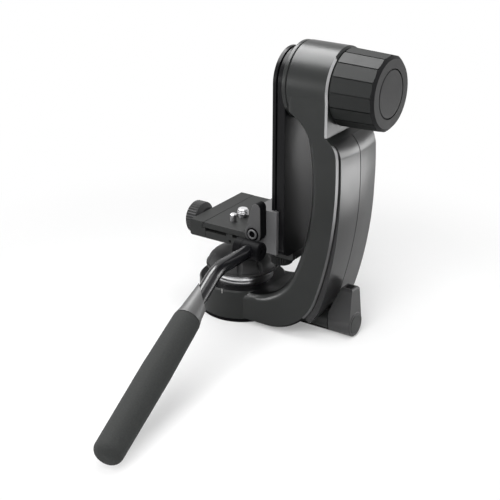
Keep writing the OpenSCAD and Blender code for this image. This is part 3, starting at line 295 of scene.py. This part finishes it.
def joined_copy(node):
    """A node's own shape with its triangles joined into whole faces."""
    bm = bmesh.new()
    bm.from_mesh(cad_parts[node].data)
    bmesh.ops.remove_doubles(bm, verts=bm.verts, dist=0.002 * MM)
    bmesh.ops.dissolve_limit(
        bm, angle_limit=math.radians(0.4), verts=bm.verts, edges=bm.edges, use_dissolve_boundaries=False)
    return bm


def eased_copy(node, ease, crease=28, segments=2):
    """A joined copy of a node with its sharp edges eased by a small round."""
    bm = joined_copy(node)
    sharp = [e for e in bm.edges if e.is_manifold and e.calc_face_angle(0) > math.radians(crease)]
    if ease > 0:
        bmesh.ops.bevel(
            bm, geom=sharp, offset=ease, offset_type="OFFSET", affect="EDGES", segments=segments,
            profile=0.5, material=-1, clamp_overlap=True)
    return bm


def place_piece(name, bm, body, material, stands_for=(), crease=35):
    """A finished piece: its mesh, its material, the body it rides on and the nodes it stands for."""
    mesh = bpy.data.meshes.new(name)
    bm.to_mesh(mesh)
    bm.free()
    mesh.shade_smooth()
    mesh.set_sharp_from_angle(angle=math.radians(crease))
    mesh.materials.append(material)
    piece = bpy.data.objects.new(name, mesh)
    bpy.context.scene.collection.objects.link(piece)
    weighted = piece.modifiers.new("even_shading", "WEIGHTED_NORMAL")
    weighted.keep_sharp = True
    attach(piece, body)
    if stands_for:
        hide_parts(*stands_for)
    return piece


def dress(node, material):
    """A node that shows as it is gets its material."""
    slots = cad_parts[node].data.materials
    slots.clear()
    slots.append(material)


def dressed_copy(node, body, material, ease, crease=28):
    """An eased copy of a node that stands for it."""
    return place_piece("shown_" + node, eased_copy(node, ease, crease), body, material, (node,))


# The foot's matt black is partly painted shade along the table.
dressed_copy("foot", "base", deep_black, 0.15 * MM)
dress("foot_pad", foot_rubber)

# Tripod bush. A threaded bronze bush in the middle of the foot, which takes the tripod's screw.
# Its thread is cut with a tap, sixteen turns to the inch.
inch_thread_pitch = 25.4 / 16 * MM
thread_depth = 0.55 * MM


def add_thread(bm, root_radius, crest_radius, pitch, low, high, starts=1):
    """Helical ridges on a screw, or in a bush where the crest lies inside the root."""
    steps_per_turn = 32
    lead = pitch * starts
    turns = (high - low) / lead
    for start in range(starts):
        ridge = [
            bm.verts.new((radius, 0, low + start * pitch + offset * pitch))
            for radius, offset in ((root_radius, -0.42), (crest_radius, 0), (root_radius, 0.42))]
        sides = [bm.edges.new((ridge[i], ridge[(i + 1) % 3])) for i in range(3)]
        swept = bmesh.ops.spin(
            bm, geom=ridge + sides, cent=(0, 0, 0), axis=(0, 0, 1), dvec=(0, 0, lead / steps_per_turn),
            angle=2 * math.pi * turns, steps=round(steps_per_turn * turns))
        bm.faces.new(ridge)
        bm.faces.new([v for v in swept["geom_last"] if isinstance(v, bmesh.types.BMVert)])
    bmesh.ops.recalc_face_normals(bm, faces=bm.faces)


bronze = finish("bronze", (0.50, 0.34, 0.15), 0.32, 700, 0.01 * MM, metallic=1.0)
bush_low, bush_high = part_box("tripod_bush")
bush_bore = min(math.hypot(v.co.x, v.co.y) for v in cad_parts["tripod_bush"].data.vertices)
dress("tripod_bush", bronze)
bm = bmesh.new()
add_thread(bm, bush_bore, bush_bore - thread_depth, inch_thread_pitch,
           bush_low[2] + inch_thread_pitch, bush_high[2] - inch_thread_pitch)
place_piece("tripod_thread", bm, "base", bronze)

# Pan spindle and bushes. Turned bronze and steel pieces in the middle of the base, which show only
# when the head is taken apart.
turned_steel = finish("turned_steel", (0.56, 0.56, 0.57), 0.28, 700, 0.01 * MM, metallic=1.0)
for node in ("thrust_washer", "pan_bush_lower", "pan_bush_upper", "drag_insert"):
    dress(node, bronze)
for node in ("pan_spindle", "spindle_screws", "disc_springs"):
    dress(node, turned_steel)

# C-arm. One aluminium casting from the hub over the bow to the tilt drum, painted satin charcoal. The
# chamfer along its outer edge is bright bare metal with a painted highlight, strong above and fading
# into the paint below. The underside, the hub's top and the foot of the bow inside are matt black,
# painted shade, graded up into the paint on the bow.
painted_edge_highlight = finish("painted_edge_highlight", (0.38, 0.38, 0.385), 0.32, 700, 0.01 * MM, drift=0.15, metallic=1.0)
# Painted highlight: the bright edge colour is scaled down with height, so the chamfer fades into the paint
# below.
highlight_fade_by_height = (82 * MM, 142 * MM, 0.22, 1.0)
nodes, links = painted_edge_highlight.node_tree.nodes, painted_edge_highlight.node_tree.links
edge_place = nodes.new("ShaderNodeTexCoord")
edge_height = nodes.new("ShaderNodeSeparateXYZ")
links.new(edge_place.outputs["Object"], edge_height.inputs[0])
highlight_fade_share = smooth_range(nodes, highlight_fade_by_height)
links.new(edge_height.outputs["Z"], highlight_fade_share.inputs["Value"])
faded_highlight_colour = nodes.new("ShaderNodeVectorMath")
faded_highlight_colour.operation = "SCALE"
edge_shader = nodes["Principled BSDF"]
links.new(edge_shader.inputs["Base Color"].links[0].from_socket, faded_highlight_colour.inputs[0])
links.new(highlight_fade_share.outputs["Result"], faded_highlight_colour.inputs["Scale"])
links.new(faded_highlight_colour.outputs[0], edge_shader.inputs["Base Color"])


def second_finish(piece, material, chosen):
    """A further material on the faces that a test chooses."""
    piece.data.materials.append(material)
    for face in piece.data.polygons:
        if chosen(face):
            face.material_index = len(piece.data.materials) - 1


def between(low, high, share):
    """The value that lies a share of the way from low to high."""
    return low + share * (high - low)


c_arm = dressed_copy("c_arm", "pan", cast_black, 0.25 * MM, 32)
bow_start = 55 * MM
chamfer_facing = 0.4
# The chamfer faces of the bow take the bright edge with its painted highlight.
second_finish(
    c_arm, painted_edge_highlight,
    lambda face: face.center.x > bow_start and min(face.normal.x, abs(face.normal.y)) > chamfer_facing)
# Painted shade: the faces that look down are matt black, for the dark line under the limb.
underside_facing = -0.5
second_finish(c_arm, deep_black, lambda face: face.normal.z < underside_facing)
# Painted shade: the level faces on the hub's top are matt black, for the shade under the platform and swing
# arm.
hub_top_limit = 45 * MM
level_facing = 0.95
second_finish(
    c_arm, deep_black, lambda face: face.normal.z > level_facing and face.center.z < hub_top_limit)
# Painted shade: the foot of the bow inside grades by height from matt black up into the paint, in steps,
# for the shade of the recess behind the ring.
ramp_start, ramp_high = 20 * MM, 95 * MM
ramp_lowest_facing, ramp_side_facing, ramp_outer_facing = 0.03, 0.3, 0.5
ramp_black_share = 0.45
ramp_shades = 6
for shade in range(ramp_shades):
    paint = max(0.0, shade / ramp_shades - ramp_black_share) / (1 - ramp_black_share)
    recess_shade_paint = finish(
        "ramp_paint_%d" % shade,
        tuple(between(deep_colour[0], value, paint) for value in cast_colour),
        between(deep_roughness, cast_roughness, paint), coat_grain, coat_depth,
        specular=between(deep_specular, cast_specular, paint))
    band_low, band_high = (ramp_high * step / ramp_shades for step in (shade, shade + 1))
    second_finish(
        c_arm, recess_shade_paint,
        lambda face: band_low <= face.center.z < band_high and face.center.x > ramp_start
        and ramp_lowest_facing < face.normal.z < level_facing
        and abs(face.normal.y) < ramp_side_facing and face.normal.x < ramp_outer_facing)

# Pan index. A short painted mark on the front of the hub, against which the pan angle is read.
# It is a raised dash on the casting, filled with pale paint.
index_paint = finish("index_paint", (0.20, 0.20, 0.195), 0.6, 1500, 0.02 * MM)
hub_radius = 36.3 * MM
index_size = Vector((0.4, 0.9, 4.0)) * MM
index_height = 27.0 * MM
index_angle = math.radians(-84)
bm = bmesh.new()
bmesh.ops.create_cube(bm, size=1)
bmesh.ops.scale(bm, vec=index_size, verts=bm.verts)
bmesh.ops.bevel(
    bm, geom=bm.edges[:], offset=0.15 * MM, offset_type="OFFSET", affect="EDGES", segments=2,
    profile=0.5, material=-1)
bmesh.ops.translate(bm, vec=(hub_radius, 0, index_height), verts=bm.verts)
bmesh.ops.rotate(bm, cent=(0, 0, 0), matrix=Matrix.Rotation(index_angle, 3, "Z"), verts=bm.verts)
place_piece("pan_index", bm, "pan", index_paint)

# Spine covers. Two smooth moulded shells on the back of the bow, with a dark seam between them.
# Each is held by clips from inside, so no screw shows.
cover_finish = finish("cover_finish", (0.014, 0.014, 0.0145), 0.32, 1500, 0.01 * MM, specular=0.3)
for side in ("front", "rear"):
    dressed_copy("spine_cover_" + side, "pan", cover_finish, 0.4 * MM, 40)

# Polished ring. Bright turned aluminium between the hub and the drag knob, with fine round ribs
# left by a form tool.
polished = finish("polished", (0.60, 0.60, 0.61), 0.28, 500, 0.005 * MM, drift=0.05, gloss_drift=0.02,
                  metallic=1.0)
ring_ribs = 3
rib_bulge = 0.15 * MM
rib_points = 8


def turned(profile, steps=128):
    """A ring turned on a lathe: a closed outline of radius and height, spun about the Z axis."""
    bm = bmesh.new()
    corners = [bm.verts.new((radius, 0, height)) for radius, height in profile]
    outline = [bm.edges.new((corners[i - 1], corners[i])) for i in range(len(corners))]
    bmesh.ops.spin(
        bm, geom=corners + outline, cent=(0, 0, 0), axis=(0, 0, 1), angle=2 * math.pi, steps=steps,
        use_merge=True)
    bmesh.ops.recalc_face_normals(bm, faces=bm.faces)
    return bm


ring_low, ring_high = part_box("accent_ring")
ring_outer = ring_high[0]
ring_bore = min(math.hypot(v.co.x, v.co.y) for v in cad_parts["accent_ring"].data.vertices)
rib_height = (ring_high[2] - ring_low[2]) / ring_ribs
ring_wall = [
    (ring_outer - rib_bulge * (1 - math.sin(math.pi * step / rib_points)),
     ring_low[2] + rib_height * (rib + step / rib_points))
    for rib in range(ring_ribs) for step in range(rib_points)]
ring_profile = [(ring_bore, ring_low[2]), *ring_wall, (ring_outer - rib_bulge, ring_high[2]),
                (ring_bore, ring_high[2])]
place_piece("shown_accent_ring", turned(ring_profile), "pan", polished, ("accent_ring",), 70)

# Drag knob. A domed rubber knob under the platform, with long notches for the fingers.
# It is moulded over a bronze insert.
drag_rubber = finish("drag_rubber", (0.026, 0.026, 0.0265), 0.55, 1300, 0.03 * MM, specular=0.25)
dressed_copy("drag_knob", "drag", drag_rubber, 0.25 * MM, 32)

# Pan lock lever. A moulded paddle on a round hub beside the arm, with a round inlay in its end.
# It pushes a brake rod and pad against the spindle.
lever_plastic = finish("lever_plastic", (0.019, 0.019, 0.0195), 0.45, 1100, 0.02 * MM, specular=0.42)
dressed_copy("lock_lever", "lock", lever_plastic, 0.5 * MM)
dressed_copy("lever_inlay", "lock", cast_black, 0.1 * MM)
dress("brake_rod", turned_steel)
dress("brake_pad", bronze)

# Tilt knob. A rubber-skinned knob with flats and a bare cap in its end, screwed on the tilt shaft.
# The end is smoother than the grip round it.
knob_rubber = finish("knob_rubber", (0.0042, 0.0049, 0.0047), 0.53, 1300, 0.03 * MM, specular=0.22)
knob_end_rubber = finish("knob_end_rubber", (0.009, 0.009, 0.0095), 0.5, 1300, 0.03 * MM, specular=0.08)

tilt_knob = dressed_copy("tilt_knob", "tilt_drag", knob_rubber, 0.42 * MM, 12)
second_finish(tilt_knob, knob_end_rubber, lambda face: face.normal.x > 0.3)
dressed_copy("knob_cap", "tilt_drag", knob_end_rubber, 0.25 * MM, 20)
dress("knob_insert", bronze)

# Tilt shaft. A steel shaft in two bearings inside the drum, with a friction disc that the knob
# presses on, and a plain cap over its end.
for node in ("tilt_bearing_inner", "tilt_bearing_outer", "tilt_shaft"):
    dress(node, turned_steel)
dress("friction_disc", lever_plastic)
dressed_copy("shaft_cap", "swing", lever_plastic, 0.2 * MM)

# Swing arm. A flat bar and a rail plate with a groove between them, screwed together and hung from
# the tilt shaft by a spacer ring. Gloss black paint.
swing_black = finish("swing_black", (0.005, 0.005, 0.0055), 0.30, 1500, 0.01 * MM, specular=0.09)
dressed_copy("swing_arm", "swing", swing_black, 0.4 * MM, 40)
dressed_copy("rail_plate", "swing", swing_black, 0.4 * MM, 40)
dressed_copy("spacer_ring", "swing", cast_black, 0.1 * MM)
dressed_copy("screw_bracket", "swing", cast_black, 0.4 * MM)
black_steel = finish("black_steel", (0.09, 0.09, 0.095), 0.35, 700, 0.01 * MM, metallic=1.0)
for node in ("rail_screws", "bracket_screws"):
    dress(node, black_steel)

# Lead screw. A steel screw with four coarse starts, which lifts the carriage as the height knob
# at its foot is turned. Its nut is bronze.
lead_starts = 4
lead_pitch = 2 * math.pi / lead_starts * MM
screw_low, screw_high = (Vector(corner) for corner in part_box("lead_screw"))
screw_centre = (screw_low + screw_high) / 2
screw_radius = (screw_high.x - screw_low.x) / 2
to_axis = Matrix.Translation((-screw_centre.x, -screw_centre.y, 0))
bm = eased_copy("lead_screw", 0.1 * MM)
bmesh.ops.transform(bm, matrix=to_axis, verts=bm.verts)
core_share = 1 - thread_depth / screw_radius
bmesh.ops.scale(bm, vec=(core_share, core_share, 1), verts=bm.verts)
add_thread(bm, screw_radius - 1.1 * thread_depth, screw_radius, lead_pitch,
           screw_low.z + lead_pitch, screw_high.z - lead_starts * lead_pitch, lead_starts)
bmesh.ops.transform(bm, matrix=to_axis.inverted(), verts=bm.verts)
place_piece("shown_lead_screw", bm, "height_drive", turned_steel, ("lead_screw",))
dress("lead_nut", bronze)

# Height knob. A knurled aluminium knob on the foot of the lead screw, anodised dark.
# The knurl is cut straight along its rim.
anodised = finish("anodised", (0.0185, 0.0193, 0.0189), 0.46, 1800, 0.02 * MM, specular=0.12)
dressed_copy("height_knob", "height_drive", anodised, 0.1 * MM)

# Carriage. A sand-blasted aluminium slide that runs on the rail and carries the clamp on screws.
# It is left paler than the pieces round it.
blasted = finish("blasted", (0.075, 0.075, 0.077), 0.55, 1800, 0.02 * MM)
dressed_copy("carriage", "platform", blasted, 0.4 * MM)
dress("carriage_screws", turned_steel)

# Clamp. A milled base, a moving jaw on two steel guide pins, and the knurled knob whose screw
# closes it. The lug below the base, where the pan bar turns, is matt black, painted shade under the
# platform.
clamp_base = dressed_copy("clamp_base", "platform", anodised, 0.3 * MM)
hub_low, hub_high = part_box("bar_hub")
lug_width, lug_overlap = 9 * MM, 1 * MM
# Painted shade: the lug's faces under the platform take the matt black.
second_finish(
    clamp_base, deep_black,
    lambda face: hub_low[0] - lug_width < face.center.x < hub_low[0] + lug_overlap
    and hub_low[1] < face.center.y < hub_high[1])
dressed_copy("moving_jaw", "jaw", anodised, 0.3 * MM)
knurled = finish("knurled", (0.02, 0.02, 0.0205), 0.62, 1800, 0.02 * MM, specular=0.18)
dressed_copy("clamp_knob", "clamp_drive", knurled, 0.1 * MM)
for node in ("guide_pins", "clamp_screw"):
    dress(node, turned_steel)

# Quick-release lever. A black lever with a paler front, a painted highlight, which turns on a
# socket-head screw whose rim stands in a bright ring.
lever_highlight_front = finish("lever_highlight_front", (0.045, 0.045, 0.046), 0.5, 1600, 0.02 * MM, specular=0.3)
qr_lever = dressed_copy("qr_lever", "release", deep_black, 0.5 * MM)
# Painted highlight: the faces turned to the front take the paler finish.
second_finish(qr_lever, lever_highlight_front, lambda face: face.normal.y < -0.35)
dressed_copy("lever_screw", "platform", deep_black, 0.1 * MM)
pivot_low, pivot_high = (Vector(corner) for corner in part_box("lever_screw"))
pivot_centre = (pivot_low + pivot_high) / 2
pivot_head_radius = (pivot_high.x - pivot_low.x) / 2
rim_radius = 0.66 * pivot_head_radius
rim_half = 0.16 * pivot_head_radius
rim_profile = [
    (rim_radius + rim_half * math.cos(turn), rim_half * math.sin(turn))
    for turn in (2 * math.pi * step / 12 for step in range(12))]
bm = turned(rim_profile, 48)
bmesh.ops.rotate(bm, cent=(0, 0, 0), matrix=Matrix.Rotation(math.radians(90), 3, "X"), verts=bm.verts)
bmesh.ops.translate(bm, vec=(pivot_centre.x, pivot_low.y, pivot_centre.z), verts=bm.verts)
place_piece("lever_screw_rim", bm, "platform", blasted)

# Quick-release plate. A dark anodised plate that slides in the clamp, with a steel camera screw
# that has a rolled thread, and a sprung video pin that keeps the camera from turning.
dressed_copy("qr_plate", "plate", anodised, 0.25 * MM)
camera_low, camera_high = (Vector(corner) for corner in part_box("camera_screw"))
camera_centre = (camera_low + camera_high) / 2
plate_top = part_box("qr_plate")[1][2]
to_axis = Matrix.Translation((-camera_centre.x, -camera_centre.y, 0))
bm = eased_copy("camera_screw", 0.1 * MM)
bmesh.ops.transform(bm, matrix=to_axis, verts=bm.verts)
shank = [v for v in bm.verts if v.co.z > plate_top]
thread_crest = max(math.hypot(v.co.x, v.co.y) for v in shank)
camera_thread_depth = 0.45 * MM
thread_root = thread_crest - camera_thread_depth
core_share = thread_root / thread_crest
bmesh.ops.scale(bm, vec=(core_share, core_share, 1), verts=shank)
add_thread(bm, 0.98 * thread_root, thread_crest, inch_thread_pitch,
           plate_top + inch_thread_pitch, camera_high.z - inch_thread_pitch)
bmesh.ops.transform(bm, matrix=to_axis.inverted(), verts=bm.verts)
place_piece("shown_camera_screw", bm, "screw", turned_steel, ("camera_screw",))
dressed_copy("video_pin", "pin", turned_steel, 0.1 * MM)

# Pan bar. A bent gloss-black tube in a small black hub, which a screw holds on the clamp's lug.
# The tube is drawn steel, bent cold.
tube_gloss = finish("tube_gloss", (0.005, 0.005, 0.006), 0.21, 400, 0.003 * MM, gloss_drift=0.05,
                    specular=0.3)
dressed_copy("bar_hub", "bar", deep_black, 0.3 * MM)
dressed_copy("bar_screw", "platform", deep_black, 0.1 * MM)
dressed_copy("bar_tube", "bar", tube_gloss, 0.0)

# Collar. A tapered grey sleeve between the tube and the grip, with its upper end cut on the slant.
# It is moulded, and pushed on the tube.
collar_grey = finish("collar_grey", (0.062, 0.062, 0.0625), 0.5, 1400, 0.03 * MM, specular=0.4)
collar_slant = math.radians(55)


def middle(node):
    """The mean place of a node's points, which lies on the axis of a turned piece."""
    points = [v.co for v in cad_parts[node].data.vertices]
    return sum(points, Vector()) / len(points)


collar_middle = middle("bar_collar")
bar_axis = (collar_middle - middle("grip")).normalized()
bar_side = bar_axis.cross(Vector((0, 0, 1))).normalized()
collar_points = [v.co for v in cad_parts["bar_collar"].data.vertices]
collar_reach = max((point - collar_middle).dot(bar_axis) for point in collar_points)
bm = eased_copy("bar_collar", 0.2 * MM)
slant = bar_axis * math.cos(collar_slant) + bar_side * math.sin(collar_slant)
tip_radius = 7.0 * MM
slant_place = collar_middle + bar_axis * collar_reach - bar_side * tip_radius
cut = bmesh.ops.bisect_plane(
    bm, geom=bm.verts[:] + bm.edges[:] + bm.faces[:], dist=0.001 * MM, plane_co=slant_place, plane_no=slant,
    clear_outer=True)
rims = [e for e in cut["geom_cut"] if isinstance(e, bmesh.types.BMEdge)]
bmesh.ops.bridge_loops(bm, edges=rims)
bmesh.ops.recalc_face_normals(bm, faces=bm.faces)
place_piece("shown_bar_collar", bm, "bar", collar_grey, ("bar_collar",))

# Grip. A tapered sleeve of closed-cell foam on the end of the bar, with fine pores all over.
# It is pushed on and its end is rounded.
grip_foam = finish("grip_foam", (0.0214, 0.0226, 0.022), 0.85, 1500, 0.15 * MM, drift=0.9, specular=0.25,
                   tone_scale=900)
dressed_copy("grip", "bar", grip_foam, 0.2 * MM)
